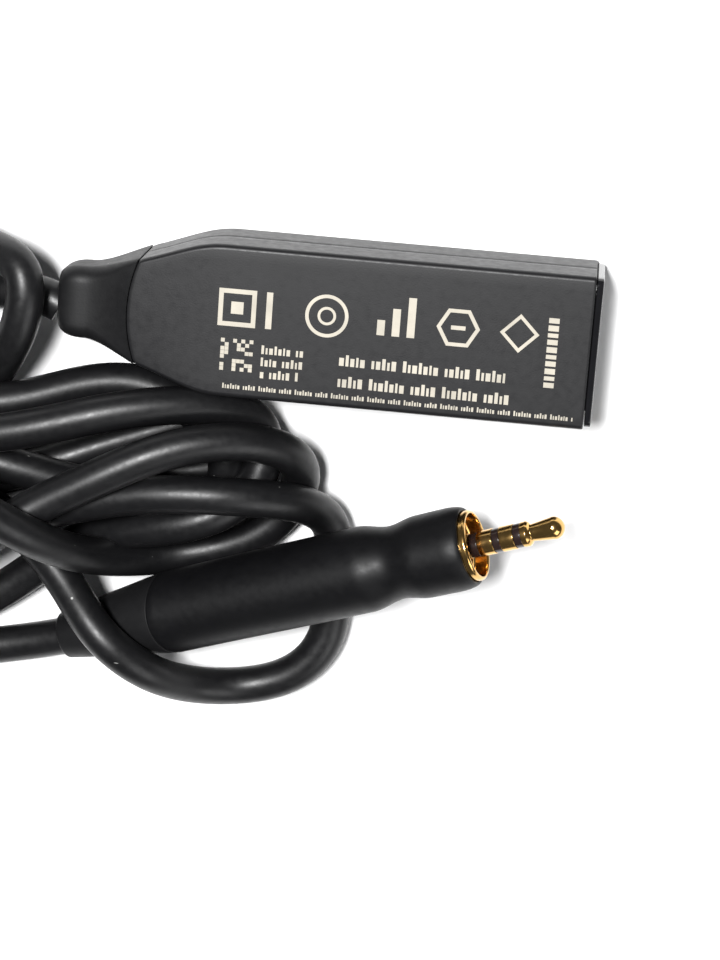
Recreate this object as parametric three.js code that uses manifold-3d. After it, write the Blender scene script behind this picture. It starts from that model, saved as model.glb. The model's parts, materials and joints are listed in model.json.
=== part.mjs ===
// In-line sound adapter box for a headset lead: a two-piece snap-fit housing with a circuit board, a push
// button and a micro-USB socket inside, and a soft black cord that ends in a four-pole 2.5 mm jack plug.
// Millimetres, +Z up. The box lies on z = 0 with its button side down. +X points to the socket end, and the
// cord leaves at -X. The origin is under the middle of the box, cord boot included.
import * as THREE from 'three';
import { mergeVertices } from 'three/addons/utils/BufferGeometryUtils.js';
import Module from 'manifold-3d';

const wasm = await Module();
wasm.setup();

// ---------- driving dimensions ----------
const BODY_LENGTH = 53;          // boot tip to socket face
const BODY_WIDTH = 15;
const BODY_THICKNESS = 10;
const EDGE_ROUND = 0.6;          // rounding of the long edges
const WALL = 1.3;
const PARTING_GAP = 0.3;         // between the two shells
const FIT_GAP = 0.15;            // between pieces that sit in one another
const SOLDER_GAP = 0.1;          // between the board and what rests on it

const BOOT_TIP_X = -BODY_LENGTH / 2;
const SOCKET_FACE_X = BODY_LENGTH / 2;
const MID_Z = BODY_THICKNESS / 2;
const HALF_WIDTH = BODY_WIDTH / 2;
const CAP_THICKNESS = 0.65;
const SHELL_END_X = SOCKET_FACE_X - CAP_THICKNESS - 0.1;
const SHOULDER_X = -10.5;        // where the shells reach full width
const SEAM_X = -18.25;           // the seam's corners, where the boot meets the shells
const SEAM_BULGE = 1.0;          // how far the seam bows towards the boot
const SEAM_HALF_WIDTH = 5.2;
const SEAM_HALF_HEIGHT = 4.2;

const BOARD = { x0: -12, x1: 24.3, halfWidth: 4.9, z0: 3.7, z1: 4.7 };
const POST = { radius: 0.9, y: 3.9 };
const TONGUE = { halfLength: 2, thickness: 0.8, z0: 3.6, z1: 7.8, rootZ: 6.1 };
const BUTTON = { x: 8, halfLength: 6, halfWidth: 3.2, z0: 0.25, z1: 1.1, lip: 0.7 };
const WINDOW = { x: 18, radius: 0.9 };
const SWITCH_BORE = 1.0;
const USB = { x0: 21, x1: 26.3, halfWidth: 3.75, z0: 4.8, z1: 7.65, wall: 0.25 };

const CORD_RADIUS = 1.9;
const CORD_SIDES = 8;
const CORD_STEP = 5;
const FACE_GAP = 0.3;            // between a cord solid and what it runs into

// The plug's axis starts at the seam between its tail boot and its barrel.
const PLUG_SEAM = new THREE.Vector3(-13.88, -31.45, 5.25);
const PLUG_TURN = 21.5;          // degrees from +X, seen from above
const PLUG_TILT = 11;            // degrees that its tip points up
const TAIL_LENGTH = 12;
const TAIL_END_RADIUS = 2.35;
const BARREL_LENGTH = 32.75;
const CUP_RADIUS = 3.5;
const CUP_RIM = 33.45;
const JACK_RADIUS = 1.25;
const JACK_TIP = 42.45;

// ---------- solids ----------
const MERGE_DISTANCE = 1e-5;

// A copy with its doubled points merged, so that its faces are joined up.
function welded(geometry) {
  const plain = geometry.clone();
  plain.deleteAttribute('normal');
  plain.deleteAttribute('uv');
  return mergeVertices(plain, MERGE_DISTANCE);
}

function toManifold(geometry) {
  const merged = welded(geometry);
  return new wasm.Manifold(new wasm.Mesh({
    numProp: 3,
    vertProperties: Float32Array.from(merged.attributes.position.array),
    triVerts: Uint32Array.from(merged.index.array),
  }));
}

function toGeometry(solid) {
  const mesh = solid.getMesh();
  const geometry = new THREE.BufferGeometry();
  geometry.setAttribute('position', new THREE.BufferAttribute(mesh.vertProperties, 3));
  geometry.setIndex(new THREE.BufferAttribute(mesh.triVerts, 1));
  geometry.computeVertexNormals();
  return geometry;
}

function box(x0, x1, y0, y1, z0, z1) {
  const geometry = new THREE.BoxGeometry(x1 - x0, y1 - y0, z1 - z0);
  geometry.translate((x0 + x1) / 2, (y0 + y1) / 2, (z0 + z1) / 2);
  return geometry;
}

function boxSolid(...sides) {
  return toManifold(box(...sides));
}

// A flat outline in X and Y, raised from z0 to z1. A round of more than 0 softens its top and bottom edges.
function raise(shape, z0, z1, round = 0) {
  const geometry = new THREE.ExtrudeGeometry(shape, {
    depth: z1 - z0 - 2 * round,
    bevelEnabled: round > 0,
    bevelThickness: round,
    bevelSize: round,
    bevelOffset: -round,
    bevelSegments: 3,
    curveSegments: 8,
  });
  geometry.translate(0, 0, z0 + round);
  return geometry;
}

function stadium(halfLength, halfWidth) {
  const shape = new THREE.Shape();
  shape.moveTo(-halfLength + halfWidth, -halfWidth);
  shape.absarc(halfLength - halfWidth, 0, halfWidth, -Math.PI / 2, Math.PI / 2);
  shape.absarc(-halfLength + halfWidth, 0, halfWidth, Math.PI / 2, 1.5 * Math.PI);
  return shape;
}

// A turned piece about +X, from [distance along the axis, radius] points that close on themselves.
function turned(points, sides = 32) {
  const closed = [...points, points[0]].map(([along, radius]) => new THREE.Vector2(radius, along));
  const geometry = new THREE.LatheGeometry(closed, sides);
  geometry.rotateZ(-Math.PI / 2);
  return geometry;
}

// A turned piece about +Z.
function turnedUp(points, sides = 24) {
  const geometry = turned(points, sides);
  geometry.rotateY(-Math.PI / 2);
  return geometry;
}

// LatheGeometry faces out when its profile runs one way only, so every turned piece is made into a solid
// with its volume checked and turned inside out where needed.
function facingOut(geometry) {
  const position = geometry.attributes.position;
  const index = geometry.index;
  const a = new THREE.Vector3();
  const b = new THREE.Vector3();
  const c = new THREE.Vector3();
  let volume = 0;
  for (let i = 0; i < index.count; i += 3) {
    a.fromBufferAttribute(position, index.getX(i));
    b.fromBufferAttribute(position, index.getX(i + 1));
    c.fromBufferAttribute(position, index.getX(i + 2));
    volume += a.dot(b.cross(c));
  }
  if (volume < 0) {
    for (let i = 0; i < index.count; i += 3) {
      const first = index.getX(i);
      index.setX(i, index.getX(i + 2));
      index.setX(i + 2, first);
    }
  }
  return toGeometry(toManifold(geometry));
}

// A skin through rounded-rectangle sections across X, each { x, halfWidth, halfHeight }, with flat ends.
function loft(sections, middleZ, sides = 32, squareness = 4) {
  const vertices = [];
  const triangles = [];
  for (const { x, halfWidth, halfHeight } of sections) {
    for (let i = 0; i < sides; i++) {
      const angle = (2 * Math.PI * (i + 0.5)) / sides;
      const cos = Math.cos(angle);
      const sin = Math.sin(angle);
      const reach = (Math.abs(cos) ** squareness + Math.abs(sin) ** squareness) ** (-1 / squareness);
      vertices.push(x, halfWidth * reach * cos, middleZ + halfHeight * reach * sin);
    }
  }
  const last = (sections.length - 1) * sides;
  for (let ring = 0; ring < sections.length - 1; ring++) {
    for (let i = 0; i < sides; i++) {
      const a = ring * sides + i;
      const b = ring * sides + ((i + 1) % sides);
      triangles.push(a, b, a + sides, b, b + sides, a + sides);
    }
  }
  for (let i = 1; i < sides - 1; i++) {
    triangles.push(0, i + 1, i);
    triangles.push(last, last + i, last + i + 1);
  }
  const geometry = new THREE.BufferGeometry();
  geometry.setAttribute('position', new THREE.Float32BufferAttribute(vertices, 3));
  geometry.setIndex(triangles);
  return facingOut(geometry);
}

// ---------- the finished group ----------
const adapter = new THREE.Group();

function add(name, geometry, colour, roughness, metalness = 0, parent = adapter) {
  const material = new THREE.MeshStandardMaterial({ color: colour, roughness, metalness });
  const mesh = new THREE.Mesh(geometry, material);
  mesh.name = name;
  parent.add(mesh);
  return mesh;
}

const BLACK_SHELL = 0x1b1b1c;
const BLACK_RUBBER = 0x161617;
const GLOSS_BLACK = 0x08080a;
const GOLD = 0xd9a441;
const STEEL = 0xb8bac0;
const TIN = 0xc9c9c4;
const BOARD_GREEN = 0x1c4a2c;
const CHIP_BLACK = 0x101012;
const CERAMIC = 0x9c7d5a;

// ---------- housing ----------
// The box seen from above, drawn in by inset on every side but the socket end.
function housingOutline(inset, endX) {
  const half = HALF_WIDTH - inset;
  const seamHalf = SEAM_HALF_WIDTH - inset;
  const seamX = SEAM_X + inset;
  const shape = new THREE.Shape();
  shape.moveTo(endX, -half);
  shape.lineTo(endX, half);
  shape.lineTo(SHOULDER_X + 0.8, half);
  shape.bezierCurveTo(SHOULDER_X - 2.2, half, seamX + 3.4, seamHalf + 1.2, seamX, seamHalf);
  shape.quadraticCurveTo(seamX - 2 * SEAM_BULGE, 0, seamX, -seamHalf);
  shape.bezierCurveTo(seamX + 3.4, -seamHalf - 1.2, SHOULDER_X - 2.2, -half, SHOULDER_X + 0.8, -half);
  return shape;
}

// The box seen from the side, as a solid across its whole width: it thins a little towards the boot.
function sideWedge(inset) {
  const low = MID_Z - SEAM_HALF_HEIGHT + inset;
  const high = MID_Z + SEAM_HALF_HEIGHT - inset;
  const shape = new THREE.Shape();
  shape.moveTo(SEAM_X - 3, low);
  shape.quadraticCurveTo(SHOULDER_X - 3, inset, SHOULDER_X + 1, inset);
  shape.lineTo(SOCKET_FACE_X + 5, inset);
  shape.lineTo(SOCKET_FACE_X + 5, BODY_THICKNESS - inset);
  shape.lineTo(SHOULDER_X + 1, BODY_THICKNESS - inset);
  shape.quadraticCurveTo(SHOULDER_X - 3, BODY_THICKNESS - inset, SEAM_X - 3, high);
  const geometry = raise(shape, -BODY_WIDTH, BODY_WIDTH);
  geometry.rotateX(Math.PI / 2);
  return toManifold(geometry);
}

const housing = toManifold(raise(housingOutline(0, SHELL_END_X + EDGE_ROUND), 0, BODY_THICKNESS, EDGE_ROUND))
  .intersect(sideWedge(0))
  .intersect(boxSolid(-40, SHELL_END_X, -20, 20, -1, 20));
const hollow = toManifold(raise(housingOutline(WALL, SHELL_END_X + 5), WALL, BODY_THICKNESS - WALL))
  .intersect(sideWedge(WALL));
const cordPassage = toManifold(loft([
  { x: SEAM_X - 4, halfWidth: 3.8, halfHeight: 3.3 },
  { x: SEAM_X + 4, halfWidth: 3.8, halfHeight: 3.3 },
], MID_Z));
const emptyHousing = housing.subtract(hollow).subtract(cordPassage);

// The label shell has four tongues that snap behind the button shell's walls.
function labelShell() {
  let shell = emptyHousing.intersect(boxSolid(-40, 40, -20, 20, MID_Z + PARTING_GAP / 2, 20));
  const face = HALF_WIDTH - WALL - 2 * FIT_GAP;
  const { halfLength, thickness, z0, z1, rootZ } = TONGUE;
  for (const x of [-4, 15]) {
    for (const side of [-1, 1]) {
      const reach = (a, b) => (side > 0 ? [a, b] : [-b, -a]);
      shell = shell.add(boxSolid(x - halfLength, x + halfLength, ...reach(face - thickness, face), z0, z1));
      const root = reach(face - thickness / 2, HALF_WIDTH - WALL / 2);
      shell = shell.add(boxSolid(x - halfLength, x + halfLength, ...root, rootZ, z1));
    }
  }
  return toGeometry(shell);
}

// The button shell has the button's and the light's openings, and four posts that hold the board.
function buttonShell() {
  let shell = emptyHousing.intersect(boxSolid(-40, 40, -20, 20, -1, MID_Z - PARTING_GAP / 2));
  const buttonHole = raise(stadium(BUTTON.halfLength + 0.2, BUTTON.halfWidth + 0.2), -1, WALL + 1);
  buttonHole.translate(BUTTON.x, 0, 0);
  shell = shell.subtract(toManifold(buttonHole));
  const windowHole = new THREE.CylinderGeometry(WINDOW.radius + FIT_GAP, WINDOW.radius + FIT_GAP, 4, 24);
  windowHole.rotateX(Math.PI / 2);
  windowHole.translate(WINDOW.x, 0, 0);
  shell = shell.subtract(toManifold(windowHole));
  for (const x of [-9.5, 22]) {
    for (const side of [-1, 1]) {
      const top = BOARD.z0 - SOLDER_GAP;
      const foot = WALL - 0.5;
      const post = new THREE.CylinderGeometry(POST.radius, POST.radius, top - foot, 16);
      post.rotateX(Math.PI / 2);
      post.translate(x, side * POST.y, (top + foot) / 2);
      shell = shell.add(toManifold(post));
    }
  }
  return toGeometry(shell);
}

// The end plate has a rim that plugs into the shells, and a mouth that the USB socket looks out of.
function endCap() {
  const plate = boxSolid(SOCKET_FACE_X - CAP_THICKNESS, SOCKET_FACE_X, -HALF_WIDTH + 0.2, HALF_WIDTH - 0.2,
    0.25, BODY_THICKNESS - 0.25);
  const rimHalf = HALF_WIDTH - WALL - 0.2;
  const rim = boxSolid(24.6, SOCKET_FACE_X - 0.1, -rimHalf, rimHalf, WALL + 0.2, BODY_THICKNESS - WALL - 0.2);
  const mouth = boxSolid(20, 30, -USB.halfWidth - FIT_GAP, USB.halfWidth + FIT_GAP,
    USB.z0 - FIT_GAP, USB.z1 + FIT_GAP);
  return toGeometry(plate.add(rim).subtract(mouth));
}

add('label_shell', labelShell(), BLACK_SHELL, 0.62);
add('button_shell', buttonShell(), BLACK_SHELL, 0.62);
add('end_cap', endCap(), GLOSS_BLACK, 0.12);

// ---------- cord boot ----------
function cableBoot() {
  const skin = toManifold(loft([
    { x: BOOT_TIP_X, halfWidth: 2.6, halfHeight: 2.4 },
    { x: BOOT_TIP_X + 0.4, halfWidth: 3.1, halfHeight: 2.8 },
    { x: BOOT_TIP_X + 1.3, halfWidth: 3.5, halfHeight: 3.1 },
    { x: BOOT_TIP_X + 3.2, halfWidth: 3.6, halfHeight: 3.15 },
    { x: BOOT_TIP_X + 4.6, halfWidth: 3.85, halfHeight: 3.35 },
    { x: BOOT_TIP_X + 6.3, halfWidth: 4.5, halfHeight: 3.8 },
    { x: SEAM_X + 0.6, halfWidth: SEAM_HALF_WIDTH + 0.1, halfHeight: SEAM_HALF_HEIGHT + 0.05 },
  ], MID_Z));
  const seamFace = toManifold(raise(housingOutline(-0.25, 20), -1, BODY_THICKNESS + 1));
  const tenon = toManifold(loft([
    { x: SEAM_X - 2.5, halfWidth: 3.6, halfHeight: 3.1 },
    { x: SEAM_X + 3.2, halfWidth: 3.6, halfHeight: 3.1 },
  ], MID_Z));
  const bore = new THREE.CylinderGeometry(CORD_RADIUS + FIT_GAP, CORD_RADIUS + FIT_GAP, 30, 24);
  bore.rotateZ(Math.PI / 2);
  bore.translate(BOOT_TIP_X + 5, 0, MID_Z);
  return toGeometry(skin.subtract(seamFace).add(tenon).subtract(toManifold(bore)));
}

const CORD_ROOT_END = -13.6;
add('cable_boot', cableBoot(), BLACK_RUBBER, 0.7);

const cordRoot = turned([[BOOT_TIP_X + 0.1, 0], [BOOT_TIP_X + 0.1, CORD_RADIUS], [CORD_ROOT_END, CORD_RADIUS],
  [CORD_ROOT_END, 0]], 24);
cordRoot.translate(0, 0, MID_Z);
add('cord_root', facingOut(cordRoot), BLACK_RUBBER, 0.5);

const crimp = turned([[-14.9, CORD_RADIUS + FIT_GAP], [-14.9, 2.7], [-13.9, 2.7], [-13.9, CORD_RADIUS + FIT_GAP]], 24);
crimp.translate(0, 0, MID_Z);
add('cord_crimp', facingOut(crimp), STEEL, 0.35, 1);

// ---------- inside the housing ----------
add('circuit_board', box(BOARD.x0, BOARD.x1, -BOARD.halfWidth, BOARD.halfWidth, BOARD.z0, BOARD.z1),
  BOARD_GREEN, 0.5);

// Parts soldered to the board's upper side: name, middle x and y, length, width, height, colour.
const TOP_PARTS = [
  ['audio_chip', 4, 0, 7, 7, 0.9, CHIP_BLACK],
  ['usb_controller', -3.6, -1.6, 5, 5, 0.9, CHIP_BLACK],
  ['crystal_can', -3.6, 3.2, 3.2, 2.2, 0.8, TIN],
  ['voltage_regulator', 12.5, -3.4, 3, 1.7, 1.1, CHIP_BLACK],
  ['surge_array', 17.6, 0, 2, 2, 0.7, CHIP_BLACK],
  ['ferrite_bead', 12.5, 3.2, 2, 1.3, 1.0, 0x3a3a3c],
  ['capacitor_1', 9.6, -4.2, 1.6, 0.9, 0.8, CERAMIC],
  ['capacitor_2', 9.6, 4.2, 1.6, 0.9, 0.8, CERAMIC],
  ['capacitor_3', 16, -3.6, 1.6, 0.9, 0.8, CERAMIC],
  ['capacitor_4', 16, 3.6, 1.6, 0.9, 0.8, CERAMIC],
];
for (const [name, x, y, length, width, height, colour] of TOP_PARTS) {
  const base = BOARD.z1 + SOLDER_GAP;
  add(name, box(x - length / 2, x + length / 2, y - width / 2, y + width / 2, base, base + height), colour, 0.4);
}

// Four wires fan out from the cord's end to pads on the board.
const WIRE_COLOURS = [0xb02020, 0xe8e8e8, 0x1f7a3a, 0xc98a2b];
const WIRE_RADIUS = 0.35;
for (let i = 0; i < WIRE_COLOURS.length; i++) {
  const spread = i - 1.5;
  const wire = new THREE.CatmullRomCurve3([
    new THREE.Vector3(CORD_ROOT_END + 0.2, spread * 0.85, 5.25),
    new THREE.Vector3(CORD_ROOT_END + 1.4, spread * 1.1, 5.55),
    new THREE.Vector3(CORD_ROOT_END + 3.2, spread * 2, 5.5),
    new THREE.Vector3(CORD_ROOT_END + 5.2, spread * 2.3, 5.2),
  ]);
  const section = new THREE.Shape().absarc(0, 0, WIRE_RADIUS, 0, 2 * Math.PI);
  const geometry = new THREE.ExtrudeGeometry(section, { steps: 8, curveSegments: 3, extrudePath: wire });
  add(`lead_wire_${i + 1}`, facingOut(welded(geometry)), WIRE_COLOURS[i], 0.5);
}

// Micro-USB socket: a folded steel sleeve with a plastic tongue and its row of contacts.
function usbSocketShell() {
  const outer = boxSolid(USB.x0, USB.x1, -USB.halfWidth, USB.halfWidth, USB.z0, USB.z1);
  const inner = boxSolid(USB.x0 + USB.wall, USB.x1 + 1, -USB.halfWidth + USB.wall, USB.halfWidth - USB.wall,
    USB.z0 + USB.wall, USB.z1 - USB.wall);
  return toGeometry(outer.subtract(inner));
}

function usbContacts() {
  let comb = boxSolid(21.5, 21.9, -1.6, 1.6, 6.55, 6.8);
  for (let i = -2; i <= 2; i++) {
    comb = comb.add(boxSolid(21.5, 25, i * 0.65 - 0.15, i * 0.65 + 0.15, 6.55, 6.7));
  }
  return toGeometry(comb);
}

add('usb_socket_shell', usbSocketShell(), STEEL, 0.3, 1);
add('usb_tongue', box(21.45, 25.4, -2.3, 2.3, 5.75, 6.45), CHIP_BLACK, 0.5);
add('usb_contacts', usbContacts(), GOLD, 0.25, 1);

// ---------- push button ----------
const SWITCH = { halfSide: 2.5, z0: 2.1, z1: 3.6, boreTop: 3.25 };

function tactSwitchBody() {
  const bore = new THREE.CylinderGeometry(SWITCH_BORE, SWITCH_BORE, 4, 20);
  bore.rotateX(Math.PI / 2);
  bore.translate(BUTTON.x, 0, SWITCH.boreTop - 2);
  const can = boxSolid(BUTTON.x - SWITCH.halfSide, BUTTON.x + SWITCH.halfSide, -SWITCH.halfSide, SWITCH.halfSide,
    SWITCH.z0, SWITCH.z1);
  return toGeometry(can.subtract(toManifold(bore)));
}

// The button is a plate in the shell's opening, a wider lip that keeps it in, and a short stem.
function modeButton() {
  const plate = raise(stadium(BUTTON.halfLength, BUTTON.halfWidth), BUTTON.z0, 1.6, 0.2);
  const lip = raise(stadium(BUTTON.halfLength + BUTTON.lip, BUTTON.halfWidth + BUTTON.lip), 1.5, 1.75);
  const stem = new THREE.CylinderGeometry(0.75, 0.75, 0.4, 16);
  stem.rotateX(Math.PI / 2);
  stem.translate(0, 0, 1.75);
  const button = toManifold(plate).add(toManifold(lip)).add(toManifold(stem));
  const geometry = toGeometry(button);
  geometry.translate(BUTTON.x, 0, 0);
  return geometry;
}

const plunger = turnedUp([[2.0, 0], [2.0, 0.8], [2.9, 0.8], [2.9, 0]], 16);
plunger.translate(BUTTON.x, 0, 0);
add('tact_switch_body', tactSwitchBody(), CHIP_BLACK, 0.5);
add('switch_plunger', facingOut(plunger), 0xe4e0d4, 0.5);
add('mode_button', modeButton(), BLACK_RUBBER, 0.5);

const pipe = turnedUp([[0.2, 0], [0.2, WINDOW.radius], [1.5, WINDOW.radius], [1.5, 1.4], [1.9, 1.4], [1.9, 0]], 24);
pipe.translate(WINDOW.x, 0, 0);
add('light_window', facingOut(pipe), 0xdfe6ea, 0.2);
add('status_led', box(WINDOW.x - 0.8, WINDOW.x + 0.8, -0.4, 0.4, 2.9, 3.6), 0xe9e6c8, 0.3);

// ---------- jack plug ----------
const plug = new THREE.Group();
plug.position.copy(PLUG_SEAM);
plug.rotation.set(0, THREE.MathUtils.degToRad(-PLUG_TILT), THREE.MathUtils.degToRad(PLUG_TURN), 'ZYX');
adapter.add(plug);

function addTurned(name, points, colour, roughness, metalness, sides) {
  add(name, facingOut(turned(points, sides)), colour, roughness, metalness, plug);
}

const TENON_RADIUS = 3.1;
addTurned('plug_tail_boot', [[-TAIL_LENGTH, CORD_RADIUS + FIT_GAP], [-TAIL_LENGTH, TAIL_END_RADIUS - 0.1],
  [-TAIL_LENGTH + 0.4, TAIL_END_RADIUS + 0.05], [-0.1, 4.15], [-0.1, TENON_RADIUS], [3, TENON_RADIUS],
  [3, CORD_RADIUS + FIT_GAP]], BLACK_RUBBER, 0.7, 0);
addTurned('plug_cord_root', [[-TAIL_LENGTH + 0.1, 0], [-TAIL_LENGTH + 0.1, CORD_RADIUS], [4.6, CORD_RADIUS],
  [4.6, 0]], BLACK_RUBBER, 0.5, 0, 24);
addTurned('plug_barrel', [[0.1, TENON_RADIUS + 0.2], [0.1, 4.2], [10, 4.25], [19, 4.3], [22.3, 4.28], [23.6, 4.0],
  [24.97, 3.65], [26.2, 3.8], [27.7, 4.1], [30, 4.15], [31.75, 4.1], [32.4, 4.0], [BARREL_LENGTH, 3.85],
  [BARREL_LENGTH, CUP_RADIUS + 0.2], [28.6, CUP_RADIUS + 0.2], [28.6, 2.7], [4.2, 2.7],
  [4.2, TENON_RADIUS + 0.2]], BLACK_RUBBER, 0.5, 0);
addTurned('plug_core', [[5, 0], [5, 2.5], [26.6, 2.5], [26.6, 0]], 0x202022, 0.6, 0, 24);
addTurned('plug_collar', [[28.8, 1.6], [28.8, CUP_RADIUS], [CUP_RIM, CUP_RADIUS], [CUP_RIM, CUP_RADIUS - 0.4],
  [31.6, CUP_RADIUS - 0.4], [31.6, 1.6]], GOLD, 0.2, 1);
// Contacts and insulators in a row: name, from, to, radius.
const CONTACT_BORE = 0.62;
const INSULATOR_RADIUS = 1.17;
const JACK_RINGS = [
  ['jack_sleeve', 27, 32.75, JACK_RADIUS, GOLD, 1],
  ['jack_insulator_rear', 32.85, 33.7, INSULATOR_RADIUS, GLOSS_BLACK, 0],
  ['jack_ring_rear', 33.8, 35.25, JACK_RADIUS, GOLD, 1],
  ['jack_insulator_middle', 35.35, 36.0, INSULATOR_RADIUS, GLOSS_BLACK, 0],
  ['jack_ring_front', 36.1, 37.45, JACK_RADIUS, GOLD, 1],
  ['jack_insulator_front', 37.55, 38.15, INSULATOR_RADIUS, GLOSS_BLACK, 0],
];
for (const [name, from, to, radius, colour, metalness] of JACK_RINGS) {
  addTurned(name, [[from, CONTACT_BORE], [from, radius], [to, radius], [to, CONTACT_BORE]], colour, 0.25,
    metalness, 24);
}
addTurned('jack_tip', [[26.9, 0], [26.9, 0.45], [38.25, 0.45], [38.25, JACK_RADIUS], [38.8, JACK_RADIUS],
  [39.05, 1.05], [39.25, 0.85], [41.45, 1.13], [41.95, 0.95], [42.3, 0.55], [JACK_TIP, 0.2], [JACK_TIP, 0]],
GOLD, 0.25, 1, 24);

// ---------- cord ----------
// Where the cord isn't coiled, its middle line runs through these points.
// From the boot: a ring that lies over the cord's own first stretch, then down to the coil.
const EXIT_ROUTE = [
  [BOOT_TIP_X - FACE_GAP, 0, MID_Z], [-28.5, 0, 4.95], [-31, 0, 4.4], [-35, -0.4, 3.0], [-40, -1.4, 2.1],
  [-46, -2.6, 2.0], [-52, -2.0, 2.0], [-55.6, 1.5, 2.0], [-55, 6.0, 2.0], [-51, 8.6, 2.0], [-46, 9.0, 2.0],
  [-40, 7.2, 2.8], [-35.6, 4.2, 4.6], [-32.9, 4.3, 6.5], [-31.2, 4.4, 7.8], [-29.6, 3.1, 8.6], [-29.0, 1.1, 8.9],
  [-29.3, -0.6, 8.8], [-30.1, -2.6, 8.4], [-31.1, -4.6, 7.7],
];
// From the coil's right end: down to the surface, under the barrel, round and over the plug's tail.
const LOOP_ROUTE = [
  [1.5, -20.6, 3.8], [1.65, -22, 2.8], [1.75, -23.6, 2.1], [1.8, -25.3, 1.95], [1.9, -27.4, 1.95],
  [2.2, -31.5, 1.95], [2.1, -33, 1.95], [1.9, -34.2, 1.95], [1.2, -35.3, 1.95], [0.4, -36.3, 1.95],
  [-0.6, -37.2, 1.95], [-1.8, -38, 1.95], [-4.4, -39.1, 1.95], [-7.7, -39.7, 2.2], [-10.7, -39.5, 3.5],
  [-13.1, -38.4, 6.1], [-15.7, -36.6, 8.6], [-18.2, -34.8, 9.9], [-20.4, -33, 9.8], [-22.6, -30.8, 8.6],
  [-23.4, -29.7, 7.9],
];
// From the coil's lower left to the end of the plug's tail.
const TAIL_ROUTE = [
  [-47.6, -40.3, 1.95], [-42.4, -39.8, 1.95], [-37, -38.9, 1.95], [-31.9, -37.9, 1.95], [-29.8, -37.3, 2.1],
];

function cordTube(route) {
  const path = new THREE.CatmullRomCurve3(route.map((point) => new THREE.Vector3(...point)));
  const section = new THREE.Shape().absarc(0, 0, CORD_RADIUS, 0, 2 * Math.PI);
  const geometry = new THREE.ExtrudeGeometry(section, {
    steps: Math.round(path.getLength() / CORD_STEP),
    curveSegments: CORD_SIDES / 2,
    extrudePath: path,
  });
  return facingOut(welded(geometry));
}

function plugPoint(along) {
  return new THREE.Vector3(along, 0, 0).applyEuler(plug.rotation).add(PLUG_SEAM).toArray();
}

add('cord_exit', cordTube(EXIT_ROUTE), BLACK_RUBBER, 0.45);
add('cord_loop', cordTube(LOOP_ROUTE), BLACK_RUBBER, 0.45);
add('cord_tail', cordTube([...TAIL_ROUTE, plugPoint(-TAIL_LENGTH - 1.5), plugPoint(-TAIL_LENGTH - FACE_GAP)]),
  BLACK_RUBBER, 0.45);

// The coil's outer shape: long loose turns that fan out between the box and the plug.
const COIL_HEIGHT = 12;
function coilOutline() {
  const shape = new THREE.Shape();
  shape.moveTo(-29, -6.3);
  shape.lineTo(-72, -6.3);
  shape.absarc(-72, -15.3, 9, Math.PI / 2, Math.PI, false);
  shape.lineTo(-81, -31);
  shape.absarc(-72, -31, 9, Math.PI, 1.5 * Math.PI, false);
  shape.lineTo(-48.2, -40);
  shape.lineTo(-48.2, -36.8);
  shape.lineTo(-36, -35);
  shape.quadraticCurveTo(-29, -27.8, -24, -27.7);
  shape.lineTo(-15, -26.9);
  shape.lineTo(-3, -22.2);
  shape.lineTo(-0.6, -21.2);
  shape.lineTo(-0.6, -18.9);
  shape.lineTo(3.6, -18.9);
  shape.quadraticCurveTo(3.8, -16.4, 0.6, -15.8);
  shape.quadraticCurveTo(-1.4, -8, -9, -8);
  shape.lineTo(-14.5, -7.8);
  shape.lineTo(-20, -6.3);
  return shape;
}
add('cord_coil', raise(coilOutline(), 0.05, COIL_HEIGHT), BLACK_RUBBER, 0.45);

export default adapter;
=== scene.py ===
"""In-line headset sound adapter: the looks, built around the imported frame. Metres, +Z up, button side down.

The box's skins, the plug's turned pieces and the one long cord are modelled in millimetres and scaled by MM.
"""
import json
import math

import bmesh
import bpy
import numpy as np
from mathutils import Euler, Matrix, Vector


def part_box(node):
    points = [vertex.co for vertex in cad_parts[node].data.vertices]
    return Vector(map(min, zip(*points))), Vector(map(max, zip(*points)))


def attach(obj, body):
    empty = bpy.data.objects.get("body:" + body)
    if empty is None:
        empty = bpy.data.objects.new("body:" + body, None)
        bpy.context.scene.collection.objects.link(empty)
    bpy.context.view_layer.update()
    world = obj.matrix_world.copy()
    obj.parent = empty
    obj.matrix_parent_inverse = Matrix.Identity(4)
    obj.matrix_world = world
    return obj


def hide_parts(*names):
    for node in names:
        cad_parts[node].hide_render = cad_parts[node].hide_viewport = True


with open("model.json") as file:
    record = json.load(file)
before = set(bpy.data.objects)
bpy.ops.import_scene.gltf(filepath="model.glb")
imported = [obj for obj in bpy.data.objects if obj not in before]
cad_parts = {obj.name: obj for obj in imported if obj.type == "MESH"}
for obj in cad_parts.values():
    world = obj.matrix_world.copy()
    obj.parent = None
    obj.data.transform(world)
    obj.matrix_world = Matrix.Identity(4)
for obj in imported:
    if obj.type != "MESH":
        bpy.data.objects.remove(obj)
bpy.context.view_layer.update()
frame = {"nodes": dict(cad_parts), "record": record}

MM = 0.001
BOX_BODY = "box"
BUTTON_BODY = "button"

# ---------- sizes shared with the CAD model, in millimetres ----------
WALL = 1.3
SHOULDER_X = -10.5       # where the shells reach full width
SEAM_X = -18.25          # the seam's corners, where the boot meets the shells
SEAM_BULGE = 1.0
SEAM_HALF_WIDTH = 5.2
SEAM_HALF_HEIGHT = 4.2
BUTTON_X = 8.0
BUTTON_HALF = (6.0, 3.2)
WINDOW_X = 18.0
WINDOW_RADIUS = 0.9

CORD_RADIUS = 1.9
CORD_LENGTH = 1200.0

PLUG_SEAM = Vector((-13.88, -31.45, 5.25))
PLUG_TURN = 21.5         # degrees from +X, seen from above
PLUG_TILT = 11           # degrees that its tip points up
TAIL_LENGTH = 12.0
BARREL_LENGTH = 32.75
CUP_RADIUS = 3.5
CUP_RIM = 33.45
JACK_RADIUS = 1.25


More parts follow.
